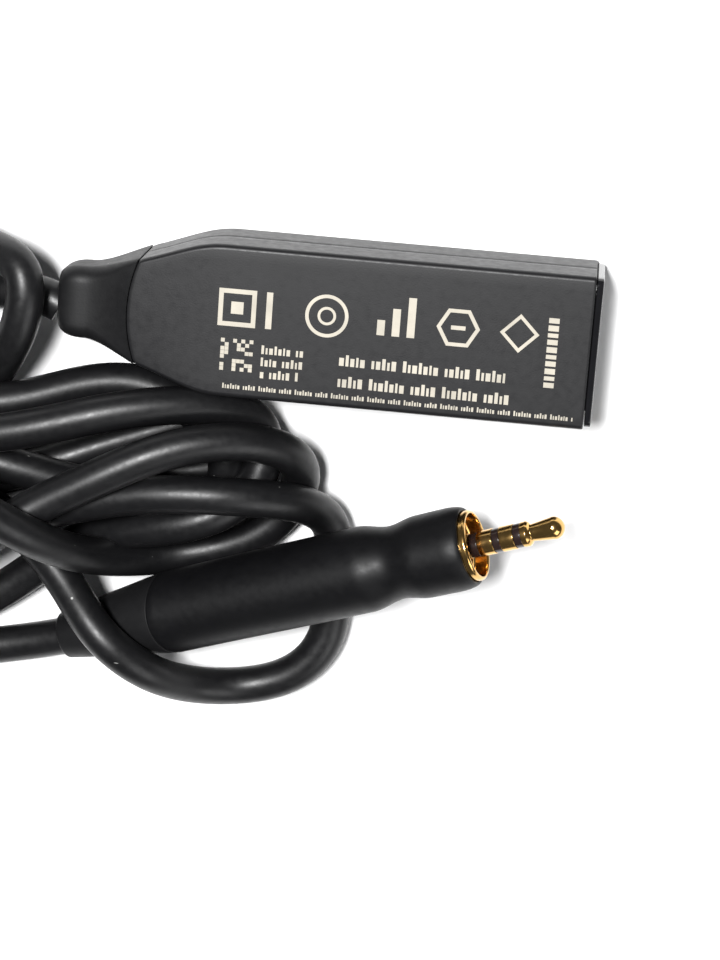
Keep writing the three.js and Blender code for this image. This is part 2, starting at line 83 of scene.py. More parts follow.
def box_mm(node):
    """A CAD node's lowest and highest corners, in millimetres."""
    low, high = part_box(node)
    return low / MM, high / MM


label_high = box_mm("label_shell")[1]
cap_low, cap_high = box_mm("end_cap")
boot_low = box_mm("cable_boot")[0]
HALF_WIDTH = label_high.y
TOP_Z = label_high.z
MID_Z = TOP_Z / 2
SHELL_END_X = label_high.x


# ---------- camera ----------
CAMERA_PLACE = Vector((23.4, 53.6, 263.9))
CAMERA_ANGLES = (-14.56, 5.5, 5.59)     # degrees about X, Y and Z, turned in the order YXZ
LENS = 101.25
SENSOR = 36


def make_camera():
    data = bpy.data.cameras.new("camera")
    data.sensor_width = SENSOR
    data.lens = LENS
    data.clip_start = 0.01
    data.clip_end = 10
    camera = bpy.data.objects.new("camera", data)
    camera.location = CAMERA_PLACE * MM
    camera.rotation_mode = "YXZ"
    camera.rotation_euler = [math.radians(angle) for angle in CAMERA_ANGLES]
    bpy.context.scene.collection.objects.link(camera)
    bpy.context.scene.camera = camera


make_camera()

# ---------- cord: route ----------
# Where the cord isn't coiled, its middle line runs through these points, the same as in the CAD model.
# From the boot: a ring that lies over the cord's own first stretch, then down to the coil.
EXIT_ROUTE = [
    (-26.45, 0, 5.0), (-28.5, 0, 4.95), (-31, 0, 4.4), (-35, -0.4, 3.0), (-40, -1.4, 2.1),
    (-46, -2.6, 2.0), (-52, -2.0, 2.0), (-55.6, 1.5, 2.0), (-55, 6.0, 2.0), (-51, 8.6, 2.0), (-46, 9.0, 2.0),
    (-40, 7.2, 2.8), (-35.6, 4.2, 4.6), (-32.9, 4.3, 6.5), (-31.2, 4.4, 7.8), (-29.6, 3.1, 8.6),
    (-29.0, 1.1, 8.9), (-29.3, -0.6, 8.8), (-30.1, -2.6, 8.4), (-31.1, -4.6, 7.7),
]
# From the coil's right end: down to the surface, under the barrel, round and over the plug's tail.
LOOP_ROUTE = [
    (1.5, -20.6, 3.8), (1.65, -22, 2.8), (1.75, -23.6, 2.1), (1.8, -25.3, 1.95), (1.9, -27.4, 1.95),
    (2.2, -31.5, 1.95), (2.1, -33, 1.95), (1.9, -34.2, 1.95), (1.2, -35.3, 1.95), (0.4, -36.3, 1.95),
    (-0.6, -37.2, 1.95), (-1.8, -38, 1.95), (-4.4, -39.1, 1.95), (-7.7, -39.7, 2.2), (-10.7, -39.5, 3.5),
    (-13.1, -38.4, 6.1), (-15.7, -36.6, 8.6), (-18.2, -34.8, 9.9), (-20.4, -33, 9.8), (-22.6, -30.8, 8.6),
    (-23.4, -29.7, 7.9),
]
# From the coil's lower left to the end of the plug's tail.
TAIL_ROUTE = [
    (-47.6, -40.3, 1.95), (-42.4, -39.8, 1.95), (-37, -38.9, 1.95), (-31.9, -37.9, 1.95), (-29.8, -37.3, 2.1),
]

# Where the ring and the bottom loop come down on the coil.
RING_LANDING = [(-32.2, -7.1, 7.0)]
LOOP_LANDING = [(-24.5, -28.5, 7.1), (-26.2, -26.4, 6.7), (-28.9, -24.4, 6.6)]

# The coil, as it looks from the camera at SIGHT_Z. Each turn comes round a far bend at the left, given as
# (end x, y in, y out), runs out to the right, comes round a near bend and runs back. A near bend that can't
# be seen is given as (end x, y in, y out), and the others are points of the runs.
SIGHT_Z = 6.0
TO_COIL = [(-34.2, -11.0), (-38.5, -17.0), (-45, -24.5), (-55, -32.0)]
TURNS = [
    {"far": (-79.0, -37.4, -9.2), "out": [(-52, -9.6), (-44, -10.8)], "near": (-35.0, -11.6, -22.5),
     "back": [(-50, -26)]},
    {"far": (-75.0, -33.6, -13.0),
     "out": [(-54, -13.8), (-42, -15.8), (-35, -18.5), (-29.7, -18.7), (-25.8, -16.5), (-21.8, -14.6),
             (-17.8, -13.2), (-14.4, -12.2)],
     "near": (-6.3, -9.9, -16.2), "back": [(-14, -16.4), (-22, -18), (-32, -21.5), (-42, -24), (-52, -27)]},
    {"far": (-71.0, -29.8, -16.8),
     "out": [(-54, -15.8), (-42, -14.2), (-31.6, -11.5), (-28.5, -10.2), (-25.3, -8.8), (-20.6, -7.7),
             (-16.6, -7.8), (-13.5, -9.1)],
     "near": (-7.3, -11.3, -20.2), "back": [(-24, -19), (-34, -17.5), (-46, -21.5)]},
    {"far": (-73.5, -31.5, -15.0),
     "out": [(-54, -15.8), (-42, -15.6), (-35, -14.8), (-29.9, -13.8), (-25.9, -12.6), (-22.0, -11.3),
             (-18.0, -10.2), (-15.0, -9.5), (-12.0, -9.2), (-8.5, -9.0), (-6.2, -9.3), (-4.8, -10.2),
             (-4.3, -11.6), (-4.8, -13.6), (-5.9, -15.5), (-7.0, -17.3), (-8.6, -18.9), (-11.4, -20.6)],
     "near": None,
     "back": [(-16.8, -22.9), (-20.3, -23.9), (-23.3, -24.9), (-26.3, -26.5), (-29.3, -29.2), (-32.8, -32.2),
              (-38.5, -34.6), (-50, -35.5)]},
    {"far": (-76.0, -35.0, -12.5),
     "out": [(-54, -13.5), (-45, -17.5), (-38, -21.8), (-31.6, -23.0), (-27.6, -21.5), (-23.5, -20.5),
             (-20.5, -19.7), (-17.5, -19.2), (-12.5, -18.8), (-9.4, -18.8)],
     "near": None, "back": [(-6.9, -18.7), (-4.4, -18.6), (-1.4, -18.7), (0.4, -19.0), (1.3, -19.6)]},
]
# After the bottom loop, one more turn lies on top.
FROM_LOOP = [(-33.5, -21.5), (-40, -17.8), (-48, -14.0)]
TOP_TURN = {
    "far": (-77.5, -11.5, -34.0),
    "out": [(-50, -33.0), (-42, -30.6), (-37.0, -27.6), (-31.5, -24.5), (-28.6, -22.7), (-25.6, -20.6),
            (-23.6, -19.2), (-21.6, -18.0), (-19.6, -16.7), (-17.8, -15.7), (-16.0, -14.8), (-13.2, -13.8),
            (-9.7, -12.9), (-6.3, -12.7), (-3.4, -13.4)],
}
# Its right end goes down under the turn before it, and back along the surface.
TOP_TURN_UNDER = [
    (-2.0, -15.4, 4.4), (-1.8, -17.3, 3.1), (-2.4, -19.7, 2.1), (-3.8, -21.5, 1.95), (-5.8, -23.2, 1.95),
    (-8.0, -24.4, 1.95), (-10.9, -25.5, 1.95), (-14.4, -26.3, 1.95),
]
TOP_TURN_BACK = [(-19.6, -25.0), (-24.1, -24.7), (-28.5, -24.3), (-36, -21.0), (-47, -14.5)]
LAST_BEND = (-79.4, -10.6, -38.2)
TO_TAIL = [(-54, -40.2)]

BEND_POINTS = 8
CURVE_STEPS = 16         # between two route points, before the samples are evened out
SAMPLE_STEP = 1.5        # between the middle line's samples
CONTROL_STEP = 6.0       # between the smooth curve's control points
OWN_REACH = 8.5          # along the cord, nearer than this isn't another strand

plug_axis = Vector((
    math.cos(math.radians(PLUG_TILT)) * math.cos(math.radians(PLUG_TURN)),
    math.cos(math.radians(PLUG_TILT)) * math.sin(math.radians(PLUG_TURN)),
    math.sin(math.radians(PLUG_TILT)),
))


def plug_point(along):
    """A point on the plug's axis, this far in front of its seam."""
    return PLUG_SEAM + plug_axis * along


def bend(end_x, y_in, y_out, to_left=False):
    """Half a turn that reaches end_x, as a list of (x, y)."""
    middle = (y_in + y_out) / 2
    radius = abs(y_in - y_out) / 2
    way = -1 if to_left else 1
    points = []
    for i in range(BEND_POINTS):
        angle = math.pi * i / (BEND_POINTS - 1)
        x = end_x - way * radius * (1 - math.sin(angle))
        points.append((x, middle + (y_in - middle) * math.cos(angle)))
    return points


def turn_route(turn):
    """One turn's points, from its far bend to the end of its run back."""
    points = bend(*turn["far"], to_left=True) + turn["out"]
    if turn["near"]:
        points += bend(*turn["near"])
    return points + turn["back"]


def coil_route():
    """The coil's points from above: up to the bottom loop, from it to the top turn's right end, and on."""
    first = list(TO_COIL)
    for turn in TURNS:
        first += turn_route(turn)
    second = FROM_LOOP + bend(*TOP_TURN["far"], to_left=True) + TOP_TURN["out"]
    return first, second, TOP_TURN_BACK + bend(*LAST_BEND, to_left=True) + TO_TAIL


def rounded_line(points, step):
    """Points a step apart on a smooth line (centripetal Catmull-Rom) through the given ones, with any extra
    columns blended along it."""
    points = np.asarray(points, float)
    ends = np.vstack([2 * points[0] - points[1], points, 2 * points[-1] - points[-2]])
    fine = []
    for i in range(1, len(points)):
        p0, p1, p2, p3 = ends[i - 1:i + 3]
        t0 = 0.0
        t1 = t0 + math.sqrt(np.linalg.norm(p1 - p0))
        t2 = t1 + math.sqrt(np.linalg.norm(p2 - p1))
        t3 = t2 + math.sqrt(np.linalg.norm(p3 - p2))
        for t in np.linspace(t1, t2, CURVE_STEPS, endpoint=False):
            a1 = (t1 - t) / (t1 - t0) * p0 + (t - t0) / (t1 - t0) * p1
            a2 = (t2 - t) / (t2 - t1) * p1 + (t - t1) / (t2 - t1) * p2
            a3 = (t3 - t) / (t3 - t2) * p2 + (t - t2) / (t3 - t2) * p3
            b1 = (t2 - t) / (t2 - t0) * a1 + (t - t0) / (t2 - t0) * a2
            b2 = (t3 - t) / (t3 - t1) * a2 + (t - t1) / (t3 - t1) * a3
            fine.append((t2 - t) / (t2 - t1) * b1 + (t - t1) / (t2 - t1) * b2)
    fine = np.array(fine + [points[-1]])
    along = np.r_[0, np.cumsum(np.linalg.norm(np.diff(fine[:, :3], axis=0), axis=1))]
    even = np.linspace(0, along[-1], int(round(along[-1] / step)) + 1)
    return np.stack([np.interp(even, along, fine[:, k]) for k in range(fine.shape[1])], 1)


def flat(points):
    """(x, y) points as route rows on the floor, free to move."""
    return [(x, y, CORD_RADIUS, 0) for x, y in points]


def held(points):
    """(x, y, z) points as route rows that stay put."""
    return [(*p, 1) for p in points]


def planned_cord():
    """The whole middle line as samples, with the coil still at floor level, and which samples stay put."""
    before_loop, after_loop, after_under = coil_route()
    rows = held(EXIT_ROUTE + RING_LANDING) + flat(before_loop)
    rows += held(LOOP_ROUTE + LOOP_LANDING) + flat(after_loop)
    rows += held(TOP_TURN_UNDER) + flat(after_under)
    rows += held(TAIL_ROUTE + [plug_point(-TAIL_LENGTH - 1.5), plug_point(-TAIL_LENGTH + 0.05)])
    samples = rounded_line(rows, SAMPLE_STEP)
    return samples[:, :3], samples[:, 3] > 0.5


# ---------- cord: laid turn over turn, then settled ----------
LAY_LENGTH = 20.0        # how much cord is laid at a time
CLIMB = 0.45             # the steepest rise of a strand over another
PASS_UNDER = 3 * CORD_RADIUS + 0.6      # a later strand held above this is passed under, not climbed


def spread_smooth(values, width):
    """Values blurred over a bell curve of this width, in samples."""
    kernel = np.exp(-0.5 * (np.arange(-3 * width, 3 * width + 1) / width) ** 2)
    kernel /= kernel.sum()
    return np.convolve(np.pad(values, 3 * width, mode="edge"), kernel, mode="valid")


def laid_cord(line, kept):
    """Gives the coil its heights: each new stretch lies over what was laid before it."""
    line = line.copy()
    height = line[:, 2]
    raw = np.full(len(line), CORD_RADIUS)
    laid = kept.copy()
    stretch = int(round(LAY_LENGTH / SAMPLE_STEP))
    run_in = int(round(1.5 * stretch))
    start = 0
    while start < len(line):
        if kept[start]:
            start += 1
            continue
        stop = start
        while stop < len(line) and not kept[stop] and stop < start + stretch:
            stop += 1
        new = np.arange(start, stop)
        old = np.nonzero(laid)[0]
        gap = np.linalg.norm(line[new][:, None, :2] - line[old][None, :, :2], axis=2)
        another = np.abs(new[:, None] - old[None, :]) * SAMPLE_STEP > OWN_REACH
        later = old[None, :] > new[:, None]
        bridge = later & kept[old][None, :] & (height[old][None, :] > PASS_UNDER)
        rise = np.sqrt(np.maximum((2 * CORD_RADIUS) ** 2 - gap ** 2, 0))
        touching = another & ~bridge & (gap < 2 * CORD_RADIUS)
        raw[new] = np.where(touching, height[old][None, :] + rise, CORD_RADIUS).max(1)
        near = np.arange(max(start - run_in, 0), stop)
        needed = np.where(kept[near], height[near], raw[near])
        eased = np.array([np.max(needed - CLIMB * SAMPLE_STEP * np.abs(near - k)) for k in near])
        eased = spread_smooth(eased, 4)
        free = ~kept[near]
        height[near[free]] = np.maximum(eased[free], CORD_RADIUS)
        laid[new] = True
        start = stop
    return line


def spline_weights(controls, samples):
    """How much each control point of an open cubic B-spline weighs at each sample."""
    knots = np.r_[[0] * 3, np.linspace(0, 1, controls - 2), [1] * 3]
    t = np.linspace(0, 1, samples)
    t[-1] = 1 - 1e-9
    weights = np.stack([(t >= a) & (t < b) for a, b in zip(knots, knots[1:])], 1).astype(float)
    for degree in range(1, 4):
        count = len(knots) - 1 - degree
        raised = np.zeros((samples, count))
        for i in range(count):
            left = knots[i + degree] - knots[i]
            right = knots[i + degree + 1] - knots[i + 1]
            if left > 0:
                raised[:, i] += (t - knots[i]) / left * weights[:, i]
            if right > 0:
                raised[:, i] += (knots[i + degree + 1] - t) / right * weights[:, i + 1]
        weights = raised
    return weights


PLUG_PROFILE = [(-12, 2.35), (0, 4.2), (19, 4.3), (22.3, 4.3), (24.97, 3.65), (27.7, 4.1), (34, 4.1)]
BOX_PROFILE = [(-26.5, 3.6), (-21, 4.2), (-18.7, 5.4), (-10.5, 7.6), (26.5, 7.6)]
CLEAR = 0.1              # between the cord and the plug or the box
SETTLE_ROUNDS = 500
SAME_PLACE = 4.0         # how firmly held samples keep their place
SAME_LOOK = 0.8          # how firmly the shown coil keeps its place across the camera's line of sight
HIDDEN_HOLD = 0.02       # and the coil beyond SHOWN_X
SHOWN_X = -36
END_HOLD = 20
WEIGHT = 0.03
FLOOR_PUSH = 40
SOLID_PUSH = 4
STRETCH = 6
STIFFNESS = 2
NEAR = 6.5               # strands farther apart than this aren't compared


def push_from_plug(line):
    """How far each sample has to move to be clear of the plug, as vectors."""
    offset = line - np.array(PLUG_SEAM)
    along = offset @ np.array(plug_axis)
    radius = np.interp(along, *zip(*PLUG_PROFILE))
    across = offset - np.outer(along, np.array(plug_axis))
    distance = np.linalg.norm(across, axis=1) + 1e-9
    beside = (along > -TAIL_LENGTH + 0.5) & (along < CUP_RIM)
    need = np.where(beside, np.maximum(radius + CORD_RADIUS + CLEAR - distance, 0), 0)
    return across / distance[:, None] * need[:, None]


def push_from_box(line):
    """How far each sample has to move towards -Y to be clear of the box's side."""
    half = np.interp(line[:, 0], *zip(*BOX_PROFILE))
    x, y, z = line.T
    beside = (x > -27.5) & (x < 26) & (z < 12) & (y < 0) & (y > -12)
    return np.where(beside, np.maximum(half + CORD_RADIUS + CLEAR + y, 0), 0)


def settled_cord(line, kept):
    """Settles the cord under its weight and stiffness, with every strand pushed outside every other. Returns
    the control points of a cubic B-spline, found by Adam's descent."""
    count = len(line)
    weights = spline_weights(int(round(CORD_LENGTH / CONTROL_STEP)), count)
    controls = np.linalg.lstsq(weights, line, rcond=None)[0]
    rest = CORD_LENGTH / (count - 1)
    hold = np.where(kept, SAME_PLACE, HIDDEN_HOLD)[:, None]
    hold[(line[:, 0] > SHOWN_X) & ~kept] = SAME_LOOK
    hold[:3] = END_HOLD
    hold[-3:] = END_HOLD
    aim = np.where(kept[:, None], line, np.c_[line[:, :2], np.full(count, SIGHT_Z)])
    sight = np.array(CAMERA_PLACE) - aim
    sight /= np.linalg.norm(sight, axis=1)[:, None]
    sight[kept] = 0
    own = int(round(OWN_REACH / SAMPLE_STEP))
    drift = np.zeros_like(controls)
    swing = np.zeros_like(controls)
    for turn in range(SETTLE_ROUNDS):
        now = weights @ controls
        miss = now - aim
        miss -= (miss * sight).sum(1)[:, None] * sight
        force = hold * miss
        force[:, 2] += np.where(kept, 0, WEIGHT)
        if turn % 5 == 0:
            near = ((now[:, None, :] - now[None, :, :]) ** 2).sum(2) < NEAR ** 2
            one, other = np.nonzero(np.triu(near, own))
        apart = now[one] - now[other]
        distance = np.linalg.norm(apart, axis=1) + 1e-9
        press = (-2 * np.maximum(2 * CORD_RADIUS + 0.03 - distance, 0) / distance)[:, None] * apart
        np.add.at(force, one, press)
        np.add.at(force, other, -press)
        force[:, 2] -= FLOOR_PUSH * np.maximum(CORD_RADIUS + CLEAR - now[:, 2], 0)
        force -= SOLID_PUSH * push_from_plug(now)
        force[:, 1] += SOLID_PUSH * push_from_box(now)
        links = np.diff(now, axis=0)
        length = np.linalg.norm(links, axis=1) + 1e-9
        tension = (STRETCH * (length - rest) / length)[:, None] * links
        force[:-1] -= tension
        force[1:] += tension
        curl = now[4:] - 2 * now[2:-2] + now[:-4]
        force[4:] += STIFFNESS * curl
        force[2:-2] -= 2 * STIFFNESS * curl
        force[:-4] += STIFFNESS * curl
        pull = weights.T @ force
        drift = 0.9 * drift + 0.1 * pull
        swing = 0.98 * swing + 0.02 * pull * pull
        steady = drift / (1 - 0.9 ** (turn + 1))
        spread = np.sqrt(swing / (1 - 0.98 ** (turn + 1)))
        controls -= (0.12 * (1 - turn / SETTLE_ROUNDS) + 0.006) * steady / (spread + 1e-3)
    return controls


def make_cord():
    """The whole cord as one smooth curve, in place of its four CAD solids."""
    line, kept = planned_cord()
    controls = settled_cord(laid_cord(line, kept), kept)
    curve = bpy.data.curves.new("headset_cord", "CURVE")
    curve.dimensions = "3D"
    curve.bevel_depth = 1            # each point's radius scales it, and the bounds count that radius
    curve.bevel_resolution = 10
    curve.use_fill_caps = True
    spline = curve.splines.new("NURBS")
    spline.points.add(len(controls) - 1)
    for point, place in zip(spline.points, controls):
        point.co = (*(place * MM), 1)
        point.radius = CORD_RADIUS * MM
    spline.order_u = 4
    spline.use_endpoint_u = True
    spline.resolution_u = 8
    cord = bpy.data.objects.new("headset_cord", curve)
    bpy.context.scene.collection.objects.link(cord)
    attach(cord, BOX_BODY)
    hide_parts("cord_exit", "cord_coil", "cord_loop", "cord_tail")
    return cord


cord = make_cord()

# ---------- mesh helpers ----------
SMOOTH_ANGLE = math.radians(32)


def settle_mesh(mesh):
    """Merges doubled points, faces everything out, and shades smooth up to real edges."""
    work = bmesh.new()
    work.from_mesh(mesh)
    bmesh.ops.remove_doubles(work, verts=work.verts, dist=1e-7)
    bmesh.ops.recalc_face_normals(work, faces=work.faces)
    work.to_mesh(mesh)
    work.free()
    mesh.shade_smooth()
    mesh.set_sharp_from_angle(angle=SMOOTH_ANGLE)


def add_piece(name, points, faces, body, slot, replaces=()):
    """A new object from points in millimetres, riding on a CAD body in place of its nodes."""
    mesh = bpy.data.meshes.new(name)
    mesh.from_pydata([Vector(p) * MM for p in points], [], faces)
    settle_mesh(mesh)
    piece = bpy.data.objects.new(name, mesh)
    bpy.context.scene.collection.objects.link(piece)
    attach(piece, body)
    if replaces:
        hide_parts(*replaces)
    piece.data.materials.append(finishes[slot])
    return piece


def skin(rings, closed=False, caps=True):
    """Points and faces through rings of equal counts. A closed one joins its last ring to its first."""
    count = len(rings[0])
    points = [p for ring in rings for p in ring]
    faces = []
    for r in range(len(rings) if closed else len(rings) - 1):
        a = r * count
        b = (r + 1) % len(rings) * count
        for i in range(count):
            j = (i + 1) % count
            faces.append((a + i, a + j, b + j, b + i))
    if caps and not closed:
        faces.append(tuple(range(count)))
        faces.append(tuple(range(len(points) - count, len(points))))
    return points, faces


def join(*solids):
    """Several (points, faces) as one."""
    points, faces = [], []
    for more_points, more_faces in solids:
        start = len(points)
        points += list(more_points)
        faces += [tuple(start + i for i in face) for face in more_faces]
    return points, faces


def ease(t):
    return t * t * (3 - 2 * t)


def bezier(t, a, b, c, d):
    return (1 - t) ** 3 * a + 3 * t * (1 - t) ** 2 * b + 3 * t * t * (1 - t) * c + t ** 3 * d


def rounded_rectangle(half_y, half_z, corner, corner_steps=10, side_steps=8):
    """(y, z) round a rounded rectangle, always with the same count of points."""
    points = []
    for quarter, (way_y, way_z) in enumerate([(1, 1), (-1, 1), (-1, -1), (1, -1)]):
        middle = (way_y * (half_y - corner), way_z * (half_z - corner))
        for i in range(corner_steps + 1):
            angle = math.pi / 2 * (quarter + i / corner_steps)
            points.append((middle[0] + corner * math.cos(angle), middle[1] + corner * math.sin(angle)))
        last = points[-1]
        next_y, next_z = [(-1, 1), (-1, -1), (1, -1), (1, 1)][quarter]
        angle = math.pi / 2 * (quarter + 1)
        first = (next_y * (half_y - corner) + corner * math.cos(angle),
                 next_z * (half_z - corner) + corner * math.sin(angle))
        for i in range(1, side_steps):
            t = i / side_steps
            points.append((last[0] + (first[0] - last[0]) * t, last[1] + (first[1] - last[1]) * t))
    return points


def stadium(half_length, half_width, grow=0.0, steps=20):
    """(x, y) round a shape with two straight sides and round ends."""
    radius = half_width + grow
    points = []
    for way in (1, -1):
        for i in range(steps + 1):
            angle = math.pi * (i / steps - 0.5) + (0 if way > 0 else math.pi)
            middle = way * (half_length - half_width)
            points.append((middle + radius * math.cos(angle), radius * math.sin(angle)))
    return points


FILLET_STEPS = 5


def filleted(profile):
    """A profile of (along, radius, fillet) points as plain points, with each fillet as a short curve."""
    points = []
    for i, (along, radius, *fillet) in enumerate(profile):
        if not fillet:
            points.append((along, radius))
            continue
        here = Vector((along, radius))
        before = Vector(profile[i - 1][:2])
        after = Vector(profile[(i + 1) % len(profile)][:2])
        start = here + (before - here).normalized() * fillet[0]
        stop = here + (after - here).normalized() * fillet[0]
        for k in range(FILLET_STEPS + 1):
            t = k / FILLET_STEPS
            points.append(tuple((1 - t) ** 2 * start + 2 * t * (1 - t) * here + t * t * stop))
    return points


def turned(profile, sides=96):
    """A solid turned about +X, from a profile that closes on itself away from the axis."""
    rings = []
    for along, radius in filleted(profile):
        angles = [2 * math.pi * i / sides for i in range(sides)]
        rings.append([(along, radius * math.cos(a), radius * math.sin(a)) for a in angles])
    return skin(rings, closed=True)


# ---------- finishes ----------
def add_node(tree, kind, **settings):
    node = tree.nodes.new(kind)
    for key, value in settings.items():
        setattr(node, key, value)
    return node


def noise(tree, place, scale, detail=4.0):
    """A noise texture whose grains are about 1 / scale millimetres."""
    node = add_node(tree, "ShaderNodeTexNoise")
    node.inputs["Scale"].default_value = scale / MM
    node.inputs["Detail"].default_value = detail
    tree.links.new(place, node.inputs["Vector"])
    return node.outputs["Fac"]


def ramp(tree, value, low, high, from_low=0.3, from_high=0.7):
    """A value from from_low to from_high, mapped to low to high."""
    node = add_node(tree, "ShaderNodeMapRange", clamp=True)
    node.inputs["From Min"].default_value = from_low
    node.inputs["From Max"].default_value = from_high
    node.inputs["To Min"].default_value = low
    node.inputs["To Max"].default_value = high
    tree.links.new(value, node.inputs["Value"])
    return node.outputs["Result"]


def mixed(tree, amount, one, other):
    """Two colours, or a colour and an output, mixed by an output."""
    node = add_node(tree, "ShaderNodeMix", data_type="RGBA")
    tree.links.new(amount, node.inputs["Factor"])
    for key, value in (("A", one), ("B", other)):
        socket = next(s for s in node.inputs if s.name == key and s.type == "RGBA")
        if isinstance(value, bpy.types.NodeSocket):
            tree.links.new(value, socket)
        else:
            socket.default_value = (*value, 1)
    return next(s for s in node.outputs if s.type == "RGBA")


def product(tree, one, other, operation="MULTIPLY"):
    node = add_node(tree, "ShaderNodeMath", operation=operation)
    for socket, value in zip(node.inputs, (one, other)):
        if isinstance(value, bpy.types.NodeSocket):
            tree.links.new(value, socket)
        else:
            socket.default_value = value
    return node.outputs["Value"]


def dust(tree, place, scale, share, size, stretch=(1, 1, 1)):
    """1 on scattered specks, and 0 elsewhere. A share of the cells, 1 / scale millimetres wide, holds one."""
    mapping = add_node(tree, "ShaderNodeMapping")
    mapping.inputs["Scale"].default_value = stretch
    mapping.inputs["Rotation"].default_value = (0.4, 0.7, 0.5)
    tree.links.new(place, mapping.inputs["Vector"])
    cells = add_node(tree, "ShaderNodeTexVoronoi")
    cells.inputs["Scale"].default_value = scale / MM
    tree.links.new(mapping.outputs["Vector"], cells.inputs["Vector"])
    chosen = product(tree, cells.outputs["Color"], 1 - share, "GREATER_THAN")
    near = ramp(tree, cells.outputs["Distance"], 1, 0, size * 0.6, size)
    return product(tree, chosen, near)


DUST_COLOUR = (0.32, 0.32, 0.31)
LINT_STRETCH = (1, 7, 7)


def finish(name, colour, roughness, metallic=0.0, grain=None, mottle=0.12, uneven=0.05, specks=None,
           lint=None, specular=0.5):
    """A moulded, rubber or plated surface. grain is (scale, height in mm), and specks and lint are lists of
    (scale, share, size)."""
    material = bpy.data.materials.new(name)
    material.use_nodes = True
    tree = material.node_tree
    shader = tree.nodes["Principled BSDF"]
    shader.inputs["Metallic"].default_value = metallic
    shader.inputs["Specular IOR Level"].default_value = specular
    place = add_node(tree, "ShaderNodeTexCoord").outputs["Object"]
    cloud = noise(tree, place, 0.35, 5)
    darker = tuple(c * (1 - mottle) for c in colour)
    lighter = tuple(c * (1 + mottle) for c in colour)
    base = mixed(tree, ramp(tree, cloud, 0, 1), darker, lighter)
    rough = ramp(tree, noise(tree, place, 1.3, 6), roughness - uneven, roughness + uneven)
    dirt = None
    for stretch, scatters in (((1, 1, 1), specks or []), (LINT_STRETCH, lint or [])):
        for scale, share, size in scatters:
            more = dust(tree, place, scale, share, size, stretch)
            dirt = more if dirt is None else product(tree, dirt, more, "MAXIMUM")
    if dirt is not None:
        base = mixed(tree, dirt, base, DUST_COLOUR)
        rough = product(tree, rough, product(tree, dirt, 0.4), "MAXIMUM")
    tree.links.new(base, shader.inputs["Base Color"])
    tree.links.new(rough, shader.inputs["Roughness"])
    if grain:
        bump = add_node(tree, "ShaderNodeBump")
        bump.inputs["Strength"].default_value = 1
        bump.inputs["Distance"].default_value = grain[1] * MM
        tree.links.new(noise(tree, place, grain[0], 3), bump.inputs["Height"])
        tree.links.new(bump.outputs["Normal"], shader.inputs["Normal"])
    return material


FINE_SPECKS = [(0.55, 0.10, 0.10), (1.3, 0.06, 0.12)]
finishes = {
    "shell_plastic": finish("shell_plastic", (0.007, 0.007, 0.0078), 0.42, grain=(7, 0.006),
                            specks=[(0.5, 0.05, 0.06)], specular=0.28),
    "cap_plastic": finish("cap_plastic", (0.006, 0.006, 0.007), 0.12, grain=(2, 0.0004), uneven=0.03),
    "boot_rubber": finish("boot_rubber", (0.006, 0.006, 0.0065), 0.5, grain=(5, 0.008), specks=FINE_SPECKS,
                          specular=0.22),
    "cord_rubber": finish("cord_rubber", (0.0045, 0.0045, 0.005), 0.4, grain=(3.2, 0.006), specks=FINE_SPECKS,
                          lint=[(0.32, 0.12, 0.09)], uneven=0.06, specular=0.35),
    "plug_rubber": finish("plug_rubber", (0.003, 0.003, 0.0035), 0.46, grain=(2.4, 0.004),
                          specks=[(0.4, 0.04, 0.05)], uneven=0.05, specular=0.18),
    "button_plastic": finish("button_plastic", (0.015, 0.015, 0.016), 0.4, grain=(6, 0.004)),
    "window_plastic": finish("window_plastic", (0.7, 0.75, 0.78), 0.25, grain=(5, 0.002)),
    "gold_contact": finish("gold_contact", (0.62, 0.38, 0.13), 0.17, metallic=1, grain=(1.5, 0.001),
                           uneven=0.05, mottle=0.08),
    "insulator": finish("insulator", (0.016, 0.009, 0.008), 0.22, grain=(4, 0.001)),
    "steel_sheet": finish("steel_sheet", (0.58, 0.59, 0.61), 0.28, metallic=1, grain=(3, 0.001)),
    "board": finish("board", (0.012, 0.07, 0.028), 0.3, grain=(2, 0.003), mottle=0.3),
    "chip": finish("chip", (0.018, 0.018, 0.02), 0.5, grain=(8, 0.004)),
    "capacitor_ceramic": finish("capacitor_ceramic", (0.35, 0.24, 0.14), 0.45, grain=(6, 0.003)),
    "can_metal": finish("can_metal", (0.7, 0.7, 0.7), 0.3, metallic=1, grain=(4, 0.001)),
    "lamp": finish("lamp", (0.85, 0.82, 0.6), 0.25, grain=(4, 0.001)),
    "wire_red": finish("wire_red", (0.45, 0.02, 0.02), 0.35, grain=(4, 0.002)),
    "wire_white": finish("wire_white", (0.8, 0.8, 0.8), 0.35, grain=(4, 0.002)),
    "wire_green": finish("wire_green", (0.02, 0.22, 0.06), 0.35, grain=(4, 0.002)),
    "wire_copper": finish("wire_copper", (0.6, 0.28, 0.08), 0.3, grain=(4, 0.002)),
    "label_print": finish("label_print", (0.38, 0.35, 0.29), 0.42, grain=(9, 0.002), mottle=0.15),
}


def finish_frame():
    """Every CAD node that stays gets its slot's finish."""
    for row in frame["record"]["subparts"]:
        node = frame["nodes"][row["node"]]
        node.data.materials.clear()
        node.data.materials.append(finishes[row["material_slot"]])
        node.data.shade_smooth()
        node.data.set_sharp_from_angle(angle=SMOOTH_ANGLE)


finish_frame()
cord.data.materials.append(finishes["cord_rubber"])

# ---------- housing ----------
EDGE_ROUND = 0.5
PARTING = 0.06           # half the line between the shells
LIP = 0.12               # the small rounding where a shell ends
PLAN_STEPS = 30


